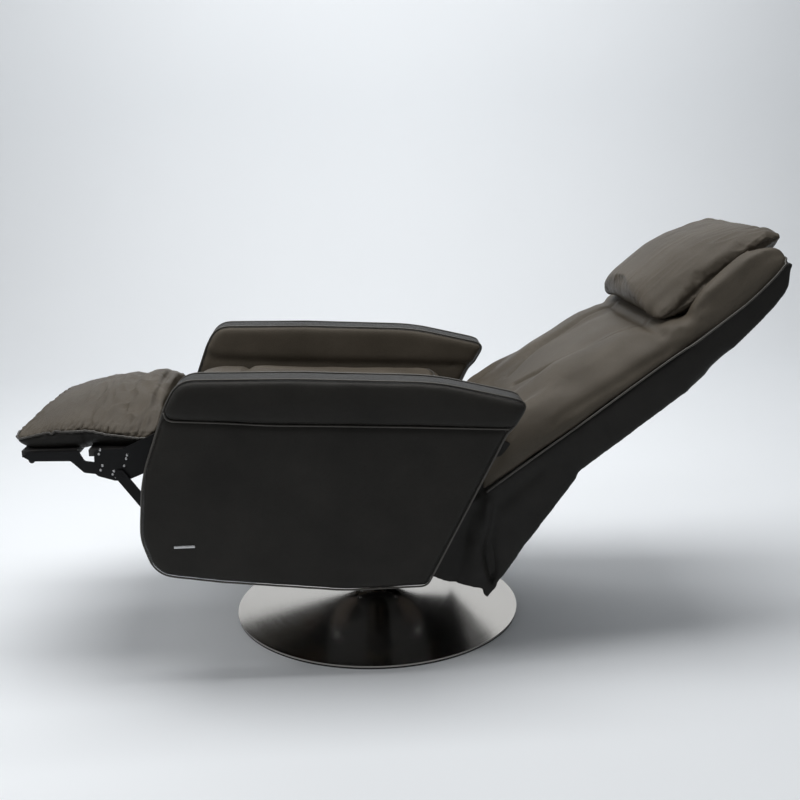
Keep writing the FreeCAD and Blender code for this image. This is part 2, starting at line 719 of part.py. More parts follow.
def make_crank():
    for name, side in (("left", 1), ("right", -1)):
        low, high = on_side(side, foot_plate_x, foot_plate_x + bar_thickness)
        bar = link(crank_pivot, crank_tip, bar_width, low, high)
        bar = bar.cut(rod(low, high, crank_pivot, crank_tube_radius))
        inner, outer = on_side(side, foot_plate_x, coupler_x + bar_thickness + stud_end)
        save("crank_bar_" + name, bar.fuse(rod(inner, outer, crank_tip, stud_radius)).removeSplitter())
        low, high = on_side(side, coupler_x, coupler_x + bar_thickness)
        bar = link(crank_tip, coupler_tip, bar_width - 4, low, high)
        bar = bar.cut([rod(low, high, crank_tip, stud_radius + running_gap),
                       rod(low, high, coupler_tip, stud_radius + open_pivot_gap)])
        save("coupler_link_" + name, bar)
    reach = foot_plate_x + bar_thickness
    tube = rod(-reach, reach, crank_pivot, crank_tube_radius)
    for x in (spring_offset_x - spring_lug_offset, spring_offset_x + spring_lug_offset):
        half = spring_lug_thickness / 2
        tube = tube.fuse(link(crank_pivot, spring_pin, spring_lug_width, x - half, x + half))
    low, high = spring_offset_x - spring_lug_offset, spring_offset_x + spring_lug_offset
    tube = tube.fuse(rod(low, high, spring_pin, rod_radius))
    save("crank_tube", tube.removeSplitter())


half_stroke = radians(41.0)
spring_pin = (crank_pivot[0] - spring_lug * sin(half_stroke), crank_pivot[1] - spring_lug * cos(half_stroke))


# Gas springs and release

def spring_cylinder(x, y_low, y_high, z, anchor_y, open_end):
    """Closed cylinder with a rod bore from one end, and an eye lug at its anchor."""
    body = bar_along_y(x, y_low, y_high, z, spring_radius)
    low, high = (y_low + cylinder_end, y_high) if open_end > 0 else (y_low, y_high - cylinder_end)
    body = body.cut(bar_along_y(x, low, high, z, rod_radius + running_gap))
    end = y_low if open_end > 0 else y_high
    half = spring_eye_width / 2
    lug = block(x - half, x + half, min(anchor_y, end), max(anchor_y, end),
                z - bracket_reach + 5, z + bracket_reach - 5)
    return body.fuse(lug).cut(bracket_pin(x, anchor_y, z)).removeSplitter()


def bracket_pin(x, y, z):
    return rod(x - bracket_gap, x + bracket_gap, (y, z), rod_radius)


def spring_bracket(x, anchor_y, z):
    """Two cheeks on a beam, with the pin that holds the spring's eye."""
    cheeks = [block(low, low + bracket_cheek, anchor_y - bracket_reach, anchor_y + bracket_reach,
                    beam_top, z + bracket_reach)
              for low in (x - bracket_gap, x + bracket_gap - bracket_cheek)]
    return cheeks[0].fuse([cheeks[1], bracket_pin(x, anchor_y, z)]).removeSplitter()


def make_spring_cylinders():
    save("back_spring_cylinder", spring_cylinder(-spring_offset_x, back_cylinder_front, back_cylinder_rear,
                                                 back_spring_z, -beam_offset, 1))
    save("foot_spring_cylinder", spring_cylinder(spring_offset_x, foot_cylinder_front, foot_cylinder_rear,
                                                 foot_spring_z, beam_offset, -1))
    save("spring_brackets", Part.makeCompound([
        spring_bracket(-spring_offset_x, -beam_offset, back_spring_z),
        spring_bracket(spring_offset_x, beam_offset, foot_spring_z)]))


def make_back_rod():
    """Piston rod with a ring round the cross tube at the foot of the back frame."""
    bore = cross_tube_radius + spring_eye_gap
    shaft = bar_along_y(-spring_offset_x, back_rod_start, crank_eye[0] - bore - 2, back_spring_z, rod_radius)
    low, high = -spring_offset_x - rod_eye_width / 2, -spring_offset_x + rod_eye_width / 2
    eye = (crank_eye[0], back_spring_z)
    ring_shape = rod(low, high, eye, bore + spring_eye_wall)
    save("back_spring_rod", shaft.fuse(ring_shape).cut(rod(low, high, eye, bore)).removeSplitter())


def make_foot_rod():
    """Piston rod with an upright slot for the pin between the crank's lugs."""
    shaft = bar_along_y(spring_offset_x, spring_pin[0] + rod_radius * 2, foot_rod_end, foot_spring_z,
                        rod_radius)
    low, high = spring_offset_x - fork_width / 2, spring_offset_x + fork_width / 2
    reach = rod_radius + spring_pin_gap
    slot = block(low, high, spring_pin[0] - reach, spring_pin[0] + reach,
                 foot_spring_z - fork_slot / 2, foot_spring_z + fork_slot / 2)
    fork = block(low, high, spring_pin[0] - reach - spring_eye_wall, spring_pin[0] + reach + spring_eye_wall,
                 foot_spring_z - fork_height / 2, foot_spring_z + fork_height / 2)
    save("foot_spring_rod", shaft.fuse(fork).cut(slot).removeSplitter())


def make_lever():
    """Handle outside the right arm, on a shaft whose finger opens both spring valves."""
    x_out = -(arm_inner_x + arm_thickness + arm_roll_bulge)
    cam_x = -spring_offset_x - spring_radius - finger_gap
    shaft = rod(x_out - lever_thickness, cam_x, lever_axis, lever_shaft_radius)
    finger_end = (lever_axis[0] + finger_length, lever_axis[1])
    finger = link(lever_axis, finger_end, finger_width, cam_x - finger_thickness, cam_x)
    save("lever_shaft", shaft.fuse(finger).removeSplitter())
    end = (lever_axis[0] - lever_length * cos(lever_angle), lever_axis[1] - lever_length * sin(lever_angle))
    grip = link(lever_axis, end, lever_width, x_out - lever_thickness, x_out)
    save("release_lever", grip.cut(rod(x_out - lever_thickness, x_out, lever_axis, lever_shaft_radius)))


os.makedirs("parts", exist_ok=True)
make_base()
make_swivel()
make_side_plates()
make_seat_rails()
make_seat_cushion()
make_arms()
make_back_frame()
make_back_soft()
make_back_boards()
make_side_flaps()
make_head()
make_foot_plates()
make_foot_pads()
make_toe_bars()
make_crank()
make_spring_cylinders()
make_back_rod()
make_foot_rod()
make_lever()
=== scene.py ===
import bpy, bmesh, json, math
import numpy as np
from mathutils import Matrix, Vector, noise
from mathutils.bvhtree import BVHTree


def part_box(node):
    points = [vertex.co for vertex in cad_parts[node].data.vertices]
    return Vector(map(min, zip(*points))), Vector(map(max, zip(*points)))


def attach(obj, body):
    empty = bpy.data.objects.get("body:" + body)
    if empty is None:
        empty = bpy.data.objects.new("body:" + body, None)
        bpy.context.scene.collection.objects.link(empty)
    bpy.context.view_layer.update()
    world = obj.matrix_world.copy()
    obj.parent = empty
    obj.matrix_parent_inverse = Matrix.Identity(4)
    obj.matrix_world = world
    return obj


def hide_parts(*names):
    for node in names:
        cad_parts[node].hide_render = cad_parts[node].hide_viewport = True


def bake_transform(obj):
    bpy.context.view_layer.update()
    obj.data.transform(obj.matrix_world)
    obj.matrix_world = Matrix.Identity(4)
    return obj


# Swivel recliner on a spun steel disc: leather, piping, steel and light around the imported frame.
# Metres, +Z up, the sitter faces -Y and +X is the sitter's left, which is the side the camera sees.

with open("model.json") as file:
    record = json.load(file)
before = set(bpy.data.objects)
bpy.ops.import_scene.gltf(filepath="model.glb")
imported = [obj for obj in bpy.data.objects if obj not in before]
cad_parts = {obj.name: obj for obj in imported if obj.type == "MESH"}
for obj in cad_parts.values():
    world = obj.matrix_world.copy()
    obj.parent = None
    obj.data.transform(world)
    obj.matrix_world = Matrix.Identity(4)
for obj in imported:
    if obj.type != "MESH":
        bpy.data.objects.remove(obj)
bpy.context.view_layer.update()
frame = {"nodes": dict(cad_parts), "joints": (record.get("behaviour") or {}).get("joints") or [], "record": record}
nodes = frame["nodes"]
print("frame loaded:", len(nodes), "nodes")


# Mesh tools

def linkNew(name, mesh):
    obj = bpy.data.objects.new(name, mesh)
    bpy.context.scene.collection.objects.link(obj)
    return obj


def meshFrom(name, points, faces):
    mesh = bpy.data.meshes.new(name)
    mesh.from_pydata([tuple(p) for p in points], [], faces)
    mesh.update()
    return linkNew(name, mesh)


def readVectors(items, key):
    out = np.zeros(len(items) * 3, np.float32)
    items.foreach_get(key, out)
    return out.reshape(-1, 3).astype(float)


def getCo(obj):
    return readVectors(obj.data.vertices, "co")


def getNormals(obj):
    return readVectors(obj.data.vertices, "normal")


def faceCentres(obj):
    return readVectors(obj.data.polygons, "center")


def setCo(obj, co):
    obj.data.vertices.foreach_set("co", np.asarray(co, np.float32).ravel())
    obj.data.update()


def settle(obj):  # modifiers become the mesh
    deps = bpy.context.evaluated_depsgraph_get()
    mesh = bpy.data.meshes.new_from_object(obj.evaluated_get(deps))
    old = obj.data
    obj.modifiers.clear()
    obj.data = mesh
    bpy.data.meshes.remove(old)
    return obj


def remesh(obj, voxel):
    mod = obj.modifiers.new("even", "REMESH")
    mod.mode = "VOXEL"
    mod.voxel_size = voxel
    mod.use_smooth_shade = True
    return settle(obj)


def subdivide(obj):
    mod = obj.modifiers.new("fine", "SUBSURF")
    mod.levels = mod.render_levels = 1
    return settle(obj)


def gather(name, sources, voxel):  # one skin round the frame's own soft solids and any filling
    bm = bmesh.new()
    for source in sources:
        bm.from_mesh(nodes[source].data if isinstance(source, str) else source.data)
    bmesh.ops.remove_doubles(bm, verts=bm.verts, dist=0.00002)
    mesh = bpy.data.meshes.new(name)
    bm.to_mesh(mesh)
    bm.free()
    for source in sources:
        if not isinstance(source, str):
            bpy.data.objects.remove(source)
    return remesh(linkNew(name, mesh), voxel)


def faceOutward(obj):
    bm = bmesh.new()
    bm.from_mesh(obj.data)
    bmesh.ops.recalc_face_normals(bm, faces=bm.faces)
    bm.to_mesh(obj.data)
    bm.free()
    return obj


def prism(outline, low, high):  # straight filling between two widths, outline in Y and Z
    count = len(outline)
    points = [(x, p[-2], p[-1]) for x in (low, high) for p in outline]  # an X in the outline is left out
    faces = [tuple(range(count))[::-1], tuple(range(count, 2 * count))]
    faces += [(k, (k + 1) % count, count + (k + 1) % count, count + k) for k in range(count)]
    return faceOutward(meshFrom("filling", points, faces))


def relax(obj, rounds, share=0.5, held=None):  # each point moves towards its neighbours
    co = getCo(obj)
    pairs = np.zeros(len(obj.data.edges) * 2, np.int32)
    obj.data.edges.foreach_get("vertices", pairs)
    a, b = pairs.reshape(-1, 2).T
    count = np.bincount(a, minlength=len(co)) + np.bincount(b, minlength=len(co))
    free = share if held is None else share * (1 - held)[:, None]
    for _ in range(rounds):
        total = np.stack([np.bincount(a, co[b, k], len(co)) + np.bincount(b, co[a, k], len(co))
                          for k in range(3)], 1)
        co += free * (total / np.maximum(count, 1)[:, None] - co)
    setCo(obj, co)
    return obj


def push(obj, amount):  # moves the surface out along its normals, or in where negative
    setCo(obj, getCo(obj) + getNormals(obj) * np.asarray(amount).reshape(-1, 1))


def closeGaps(obj, reach, voxel):  # grows, joins and shrinks again, which bridges narrow clefts
    push(obj, np.full(len(obj.data.vertices), reach))
    remesh(obj, voxel)
    relax(obj, 2)
    push(obj, np.full(len(obj.data.vertices), -reach))
    remesh(obj, voxel)
    return obj


clothLook = {"mass": 0.25, "tension": 12, "shear": 5, "bending": 0.6, "frames": 20}


def puff(obj, pressure, cap, held=None):  # cloth filled with air, gravity off
    rest = getCo(obj)
    mod = obj.modifiers.new("puff", "CLOTH")
    s = mod.settings
    s.quality = 3
    s.mass = clothLook["mass"]
    s.tension_stiffness = s.compression_stiffness = clothLook["tension"]
    s.shear_stiffness = clothLook["shear"]
    s.bending_stiffness = clothLook["bending"]
    s.use_pressure = True
    s.uniform_pressure_force = pressure
    s.effector_weights.gravity = 0
    mod.collision_settings.use_collision = False
    if held is not None:
        group = obj.vertex_groups.new(name="held")
        for i, w in enumerate(held):
            if w > 0.01:
                group.add([i], float(w), "REPLACE")
        s.vertex_group_mass = "held"
    scene = bpy.context.scene
    for step in range(1, clothLook["frames"] + 1):
        scene.frame_set(step)
    deps = bpy.context.evaluated_depsgraph_get()
    moved = getCo(obj.evaluated_get(deps))
    obj.modifiers.clear()
    obj.vertex_groups.clear()
    scene.frame_set(1)
    move = moved - rest
    length = np.linalg.norm(move, axis=1, keepdims=True)
    setCo(obj, rest + move * np.minimum(1, cap / np.maximum(length, 1e-9)))


def mirrored(obj, name):  # the same piece on the other side of the chair
    mesh = obj.data.copy()
    mesh.transform(Matrix.Scale(-1, 4, (1, 0, 0)))
    mesh.flip_normals()
    return linkNew(name, mesh)


def smoothShade(obj):
    obj.data.polygons.foreach_set("use_smooth", [True] * len(obj.data.polygons))
    return obj


def alongCurve(points, step):  # smooth line through given points, evenly spaced
    p = np.asarray(points, float)
    p = np.vstack([2 * p[0] - p[1], p, 2 * p[-1] - p[-2]])
    out = []
    for i in range(1, len(p) - 2):
        for t in np.linspace(0, 1, 24, endpoint=False):
            out.append(0.5 * (2 * p[i] + (p[i + 1] - p[i - 1]) * t
                              + (2 * p[i - 1] - 5 * p[i] + 4 * p[i + 1] - p[i + 2]) * t ** 2
                              + (3 * p[i] - p[i - 1] - 3 * p[i + 1] + p[i + 2]) * t ** 3))
    out.append(p[-2])
    return evenly(np.array(out), step)


def evenly(line, step, closed=False):
    if closed:
        line = np.vstack([line, line[:1]])
    length = np.concatenate([[0], np.cumsum(np.linalg.norm(np.diff(line, axis=0), axis=1))])
    count = max(3, int(round(length[-1] / step)))
    places = np.linspace(0, length[-1], count + 1)
    if closed:
        places = places[:-1]
    return np.stack([np.interp(places, length, line[:, k]) for k in range(line.shape[1])], 1)


def tube(name, line, radius, closed=False, sides=8):  # piping, rods and beads
    line = np.asarray(line, float)
    count = len(line)
    ahead = np.roll(line, -1, 0) - np.roll(line, 1, 0)
    if not closed:
        ahead[0], ahead[-1] = line[1] - line[0], line[-1] - line[-2]
    ahead /= np.maximum(np.linalg.norm(ahead, axis=1, keepdims=True), 1e-9)
    up = np.cross(ahead[0], [0.3, 0.2, 0.9])
    points, faces = [], []
    radii = np.broadcast_to(radius, count)
    for i in range(count):
        up = up - ahead[i] * np.dot(up, ahead[i])
        up /= max(np.linalg.norm(up), 1e-9)
        side = np.cross(ahead[i], up)
        for k in range(sides):
            a = 2 * math.pi * k / sides
            points.append(line[i] + radii[i] * (up * math.cos(a) + side * math.sin(a)))
    for i in range(count if closed else count - 1):
        j = (i + 1) % count
        for k in range(sides):
            m = (k + 1) % sides
            faces.append((i * sides + k, i * sides + m, j * sides + m, j * sides + k))
    if not closed:
        faces.append(tuple(range(sides))[::-1])
        faces.append(tuple((count - 1) * sides + k for k in range(sides)))
    return smoothShade(faceOutward(meshFrom(name, points, faces)))


def nearLine(co, line, closed=False):  # distance of each point to a line
    a = np.asarray(line, float)
    b = np.roll(a, -1, 0)
    if not closed:
        a, b = a[:-1], b[:-1]
    best = np.full(len(co), 1e9)
    for p, q in zip(a, b):
        d = q - p
        t = np.clip(((co - p) @ d) / max(d @ d, 1e-12), 0, 1)
        best = np.minimum(best, np.linalg.norm(co - p - t[:, None] * d, axis=1))
    return best


def ontoSurface(obj, line, lift=0.0):
    tree = BVHTree.FromObject(obj, bpy.context.evaluated_depsgraph_get())
    out = []
    for p in line:
        place, normal, _, _ = tree.find_nearest(Vector(p))
        out.append(np.array(place + normal * lift))
    return np.array(out)


def seam(obj, line, width, depth, closed=False, weight=1.0):  # a stitched valley
    d = nearLine(getCo(obj), line, closed)
    push(obj, -depth * weight * np.exp(-(d / width) ** 2))


def slicePlane(obj, at, normal, step=0.006):  # closed line where a plane cuts a piece
    bm = bmesh.new()
    bm.from_mesh(obj.data)
    cut = bmesh.ops.bisect_plane(bm, geom=bm.verts[:] + bm.edges[:] + bm.faces[:],
                                 plane_co=at, plane_no=normal)["geom_cut"]
    edges = [e for e in cut if isinstance(e, bmesh.types.BMEdge)]
    joins = {}
    for e in edges:
        for v in e.verts:
            joins.setdefault(v, []).append(e)
    loops, used = [], set()
    for first in edges:
        if first in used:
            continue
        loop, e, v = [], first, first.verts[0]
        while e is not None and e not in used:
            used.add(e)
            loop.append(np.array(v.co))
            v = e.other_vert(v)
            e = next((n for n in joins[v] if n not in used), None)
        loops.append(np.array(loop))
    bm.free()
    longest = max(loops, key=lambda l: np.linalg.norm(np.diff(l, axis=0), axis=1).sum())
    line = evenly(longest, step, closed=True)
    for _ in range(3):
        line = (np.roll(line, 1, 0) + 2 * line + np.roll(line, -1, 0)) / 4
    return line


def addPiping(obj, lines, radius, hide, closed=False):  # sewn-in cord covers, part of the same piece
    obj.data.materials.append(hide)
    index = len(obj.data.materials) - 1
    bm = bmesh.new()
    bm.from_mesh(obj.data)
    for line in lines:
        pipe = tube("pipe", line, radius, closed)
        pipe.data.polygons.foreach_set("material_index", [index] * len(pipe.data.polygons))
        bm.from_mesh(pipe.data)
        bpy.data.objects.remove(pipe)
    bm.to_mesh(obj.data)
    bm.free()
    return smoothShade(obj)


def paintWhere(obj, faces, hide):  # another leather on some faces; on the arms' inner faces a paler leather as painted light
    obj.data.materials.append(hide)
    index = np.zeros(len(obj.data.polygons), np.int32)
    obj.data.polygons.foreach_get("material_index", index)
    index[faces] = len(obj.data.materials) - 1
    obj.data.polygons.foreach_set("material_index", index)


def bothSides(line):
    line = np.asarray(line, float)
    return [line, line * (-1, 1, 1)]


def wave(co, scale, seed=0.0):  # smooth noise over the surface, -1 to 1
    return np.array([noise.noise(Vector(p) / scale + Vector((seed, seed * 0.7, 3.1))) for p in co])


# Materials

def newMaterial(name):
    mat = bpy.data.materials.new(name)
    mat.use_nodes = True
    tree = mat.node_tree
    return mat, tree, tree.nodes["Principled BSDF"]


def addNode(tree, kind, **values):
    node = tree.nodes.new(kind)
    for key, value in values.items():
        if key in node.inputs:
            node.inputs[key].default_value = value
        else:
            setattr(node, key, value)
    return node


def place(tree, scale=(1, 1, 1)):
    coords = addNode(tree, "ShaderNodeTexCoord")
    mapping = addNode(tree, "ShaderNodeMapping")
    mapping.inputs["Scale"].default_value = scale
    tree.links.new(coords.outputs["Object"], mapping.inputs["Vector"])
    return mapping.outputs["Vector"]


def ramp(tree, source, low, high, start=0.0, end=1.0):
    node = addNode(tree, "ShaderNodeMapRange")
    node.inputs["From Min"].default_value = start
    node.inputs["From Max"].default_value = end
    node.inputs["To Min"].default_value = low
    node.inputs["To Max"].default_value = high
    tree.links.new(source, node.inputs["Value"])
    return node.outputs["Result"]


def mixColour(tree, factor, a, b):
    node = addNode(tree, "ShaderNodeMix", data_type="RGBA")
    node.inputs["A"].default_value = (*a, 1)
    node.inputs["B"].default_value = (*b, 1)
    tree.links.new(factor, node.inputs["Factor"])
    return node.outputs["Result"]


grainLook = {"patches": 9.0, "bend": 0.35, "pores": 2.2, "stretch": 60.0, "warp": 0.0022, "crease": 0.5,
             "pebble": 0.0009, "line": 0.002}


def leather(name, look):  # grained hide: pebbles, pores, broad patches and fine stretch lines
    mat, tree, shader = newMaterial(name)
    link = tree.links.new
    at = place(tree)
    patches = addNode(tree, "ShaderNodeTexNoise", Scale=grainLook["patches"], Detail=4.0)
    grain = addNode(tree, "ShaderNodeTexVoronoi", Scale=look["grain"], feature="DISTANCE_TO_EDGE")
    bend = addNode(tree, "ShaderNodeTexNoise", Scale=look["grain"] * grainLook["bend"], Detail=2.0)
    pores = addNode(tree, "ShaderNodeTexNoise", Scale=look["grain"] * grainLook["pores"], Detail=3.0)
    stretch = addNode(tree, "ShaderNodeTexNoise", Scale=grainLook["stretch"], Detail=6.0)
    for node in (patches, bend, pores, stretch):
        link(at, node.inputs["Vector"])
    warp = addNode(tree, "ShaderNodeVectorMath", operation="MULTIPLY_ADD")
    warp.inputs[1].default_value = (grainLook["warp"],) * 3
    link(bend.outputs["Color"], warp.inputs[0])
    link(at, warp.inputs[2])
    link(warp.outputs[0], grain.inputs["Vector"])
    tone = mixColour(tree, ramp(tree, patches.outputs["Fac"], 0, 1, 0.3, 0.7), look["dark"], look["light"])
    creased = addNode(tree, "ShaderNodeMix", data_type="RGBA", blend_type="MULTIPLY",
                      Factor=grainLook["crease"])
    link(tone, creased.inputs["A"])
    link(ramp(tree, grain.outputs["Distance"], 0.45, 1.0, 0.0, 0.12), creased.inputs["B"])
    link(creased.outputs["Result"], shader.inputs["Base Color"])
    low, high = look["rough"]
    link(ramp(tree, pores.outputs["Fac"], low, high, 0.3, 0.7), shader.inputs["Roughness"])
    shader.inputs["Specular IOR Level"].default_value = look["gloss"]
    shader.inputs["Coat Weight"].default_value = look.get("coat", 0)
    shader.inputs["Coat Roughness"].default_value = 0.35
    cells = addNode(tree, "ShaderNodeBump", Strength=look["relief"], Distance=grainLook["pebble"])
    lines = addNode(tree, "ShaderNodeBump", Strength=look["relief"] * 0.5, Distance=grainLook["line"])
    link(ramp(tree, grain.outputs["Distance"], 0, 1, 0.0, 0.16), cells.inputs["Height"])
    link(stretch.outputs["Fac"], lines.inputs["Height"])
    link(lines.outputs["Normal"], cells.inputs["Normal"])
    link(cells.outputs["Normal"], shader.inputs["Normal"])
    return mat


leatherLooks = {
    # the seat leather is also painted on the arms' inner faces as painted light, for the light falling there
    "seatLeatherAndArmLight": {"dark": (0.068, 0.0565, 0.042), "light": (0.096, 0.081, 0.062), "grain": 520,
                    "rough": (0.42, 0.54), "gloss": 0.2, "relief": 0.35},
    "armLeather": {"dark": (0.016, 0.0148, 0.0128), "light": (0.024, 0.0222, 0.0192), "grain": 560,
                   "rough": (0.40, 0.52), "gloss": 0.17, "relief": 0.35},
    "sideLeather": {"dark": (0.013, 0.012, 0.0105), "light": (0.020, 0.0185, 0.0162), "grain": 540,
                    "rough": (0.36, 0.48), "gloss": 0.2, "relief": 0.35},
    "pipingLeather": {"dark": (0.050, 0.046, 0.040), "light": (0.075, 0.069, 0.060), "grain": 800,
                      "rough": (0.32, 0.44), "gloss": 0.42, "coat": 0.1, "relief": 0.15},
}
hides = {name: leather(name, look) for name, look in leatherLooks.items()}


def metal(name, look):
    mat, tree, shader = newMaterial(name)
    link = tree.links.new
    at = place(tree, look.get("stretch", (1, 1, 1)))
    marks = addNode(tree, "ShaderNodeTexNoise", Scale=look["scale"], Detail=5.0)
    link(at, marks.inputs["Vector"])
    link(mixColour(tree, marks.outputs["Fac"], look["dark"], look["light"]), shader.inputs["Base Color"])
    shader.inputs["Metallic"].default_value = look["metallic"]
    shader.inputs["Specular IOR Level"].default_value = look.get("gloss", 0.5)
    low, high = look["rough"]
    link(ramp(tree, marks.outputs["Fac"], low, high, 0.3, 0.7), shader.inputs["Roughness"])
    bump = addNode(tree, "ShaderNodeBump", Strength=look["relief"], Distance=0.0005)
    link(marks.outputs["Fac"], bump.inputs["Height"])
    link(bump.outputs["Normal"], shader.inputs["Normal"])
    return mat


metalLooks = {
    "blackSteel": {"dark": (0.004, 0.004, 0.0045), "light": (0.008, 0.008, 0.0085), "scale": 900,
                   "metallic": 0.0, "rough": (0.34, 0.5), "relief": 0.25, "gloss": 0.2},
    "zincSteel": {"dark": (0.42, 0.42, 0.43), "light": (0.60, 0.60, 0.60), "scale": 260,
                  "metallic": 1.0, "rough": (0.25, 0.42), "relief": 0.1},
    "rawSteel": {"dark": (0.09, 0.09, 0.09), "light": (0.17, 0.165, 0.16), "scale": 120,
                 "metallic": 0.7, "rough": (0.45, 0.65), "relief": 0.2},
    "bronze": {"dark": (0.36, 0.24, 0.10), "light": (0.50, 0.36, 0.17), "scale": 200,
               "metallic": 1.0, "rough": (0.35, 0.5), "relief": 0.1},
    "rodSteel": {"dark": (0.55, 0.55, 0.57), "light": (0.68, 0.68, 0.70), "scale": 300,
                 "metallic": 1.0, "rough": (0.08, 0.16), "relief": 0.03},
    "blackRubber": {"dark": (0.012, 0.012, 0.012), "light": (0.024, 0.024, 0.024), "scale": 500,
                    "metallic": 0.0, "rough": (0.65, 0.85), "relief": 0.3},
    "blackPlastic": {"dark": (0.012, 0.012, 0.013), "light": (0.020, 0.020, 0.021), "scale": 1400,
                     "metallic": 0.0, "rough": (0.38, 0.5), "relief": 0.3},
}
metals = {name: metal(name, look) for name, look in metalLooks.items()}


def spunSteel(look):  # circular brushing about the swivel axis
    mat, tree, shader = newMaterial("spunSteel")
    link = tree.links.new
    coords = addNode(tree, "ShaderNodeTexCoord")
    split = addNode(tree, "ShaderNodeSeparateXYZ")
    link(coords.outputs["Object"], split.inputs[0])
    flat = addNode(tree, "ShaderNodeCombineXYZ")
    link(split.outputs["X"], flat.inputs["X"])
    link(split.outputs["Y"], flat.inputs["Y"])
    radius = addNode(tree, "ShaderNodeVectorMath", operation="LENGTH")
    link(flat.outputs[0], radius.inputs[0])
    turn = addNode(tree, "ShaderNodeCombineXYZ")  # long thin marks: fast along the radius, slow around
    reach = addNode(tree, "ShaderNodeMath", operation="MULTIPLY")
    reach.inputs[1].default_value = look["lines"]
    link(radius.outputs["Value"], reach.inputs[0])
    link(reach.outputs[0], turn.inputs["X"])
    link(split.outputs["X"], turn.inputs["Y"])
    link(split.outputs["Y"], turn.inputs["Z"])
    lines = addNode(tree, "ShaderNodeTexNoise", Scale=1.0, Detail=3.0)
    link(turn.outputs[0], lines.inputs["Vector"])
    link(mixColour(tree, lines.outputs["Fac"], look["dark"], look["light"]), shader.inputs["Base Color"])
    shader.inputs["Metallic"].default_value = 1.0
    low, high = look["rough"]
    link(ramp(tree, lines.outputs["Fac"], low, high, 0.3, 0.7), shader.inputs["Roughness"])
    shader.inputs["Anisotropic"].default_value = look["brushed"]
    tangent = addNode(tree, "ShaderNodeTangent", direction_type="RADIAL", axis="Z")
    link(tangent.outputs[0], shader.inputs["Tangent"])
    bump = addNode(tree, "ShaderNodeBump", Strength=0.08, Distance=0.0002)
    link(lines.outputs["Fac"], bump.inputs["Height"])
    link(bump.outputs["Normal"], shader.inputs["Normal"])
    return mat


metals["spunSteel"] = spunSteel({"dark": (0.50, 0.47, 0.43), "light": (0.66, 0.63, 0.59),
                                 "rough": (0.10, 0.20), "brushed": 0.65, "lines": 1500})


def wood(name, dark, light):
    mat, tree, shader = newMaterial(name)
    link = tree.links.new
    at = place(tree, (3.0, 26.0, 26.0))
    rings = addNode(tree, "ShaderNodeTexNoise", Scale=2.4, Detail=6.0, Distortion=0.6)
    link(at, rings.inputs["Vector"])
    link(mixColour(tree, ramp(tree, rings.outputs["Fac"], 0, 1, 0.35, 0.65), dark, light),
         shader.inputs["Base Color"])
    shader.inputs["Roughness"].default_value = 0.6
    bump = addNode(tree, "ShaderNodeBump", Strength=0.2, Distance=0.001)
    link(rings.outputs["Fac"], bump.inputs["Height"])
    link(bump.outputs["Normal"], shader.inputs["Normal"])
    return mat


woods = {"hardwood": wood("hardwood", (0.055, 0.034, 0.022), (0.10, 0.066, 0.042)),
         "blackBoard": wood("blackBoard", (0.010, 0.009, 0.009), (0.022, 0.020, 0.019))}


webbingLook = {"dark": (0.02, 0.02, 0.02), "light": (0.09, 0.085, 0.08), "weave": 420.0, "bands": 6.3}


def webbing(look):
    mat, tree, shader = newMaterial("webbing")
    link = tree.links.new
    at = place(tree)
    weave = addNode(tree, "ShaderNodeTexChecker", Scale=look["weave"])
    link(at, weave.inputs["Vector"])
    bands = addNode(tree, "ShaderNodeTexWave", Scale=look["bands"], bands_direction="Y")
    link(at, bands.inputs["Vector"])
    link(mixColour(tree, bands.outputs["Fac"], look["dark"], look["light"]),
         shader.inputs["Base Color"])
    shader.inputs["Roughness"].default_value = 0.85
    bump = addNode(tree, "ShaderNodeBump", Strength=0.5, Distance=0.001)
    link(weave.outputs["Fac"], bump.inputs["Height"])
    link(bump.outputs["Normal"], shader.inputs["Normal"])
    return mat


def paint(obj, mat):
    obj.data.materials.clear()
    obj.data.materials.append(mat)
    return obj


finishOf = {"spun_steel": metals["spunSteel"], "black_rubber": metals["blackRubber"],
            "raw_steel": metals["rawSteel"], "zinc_steel": metals["zincSteel"], "bronze": metals["bronze"],
            "black_steel": metals["blackSteel"], "hardwood": woods["hardwood"],
            "webbing": webbing(webbingLook),
            "leather_seat": hides["seatLeatherAndArmLight"], "leather_arm": hides["armLeather"],
            "leather_side": hides["sideLeather"], "black_board": woods["blackBoard"],
            "rod_steel": metals["rodSteel"], "black_plastic": metals["blackPlastic"]}
for part in frame["record"]["subparts"]:
    paint(nodes[part["node"]], finishOf[part["material_slot"]])
print("materials done")


def dress(obj, mat, body):
    smoothShade(paint(obj, mat))
    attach(obj, body)


def jointAt(name):
    return next(joint["pos_m"] for joint in frame["joints"] if joint["name"] == name)


backLook = {"lean": 34.6, "headLean": 42.0, "neckLean": 38, "neckBend": 0.05}
backHinge, headHinge = jointAt("recline"), jointAt("head_tilt")


def leanAxes(degrees):
    a = math.radians(degrees)
    return np.array([math.cos(a), math.sin(a)]), np.array([-math.sin(a), math.cos(a)])


def fromHinge(hinge, degrees, x, up, out):  # millimetres along the rest and out of its front
    along, outward = leanAxes(degrees)
    y, z = np.array(hinge[1:]) + (along * up + outward * out) / 1000
    return np.array([x / 1000, y, z])


def backAt(x, up, out):
    return fromHinge(backHinge, backLook["lean"], x, up, out)


def headAt(x, up, out):
    return fromHinge(headHinge, backLook["headLean"], x, up, out)


def backThenHead(x, outline):  # a line that starts on the back and goes on over the head
    return [backAt(x, *p) for p in outline["back"]] + [headAt(x, *p) for p in outline["head"]]


def upAndOut(co, hinge, degrees):
    along, outward = leanAxes(degrees)
    d = co[:, 1:] - np.array(hinge[1:])
    return d @ along * 1000, d @ outward * 1000


def onBack(co):
    return upAndOut(co, backHinge, backLook["lean"])


def onHead(co):
    return upAndOut(co, headHinge, backLook["headLean"])


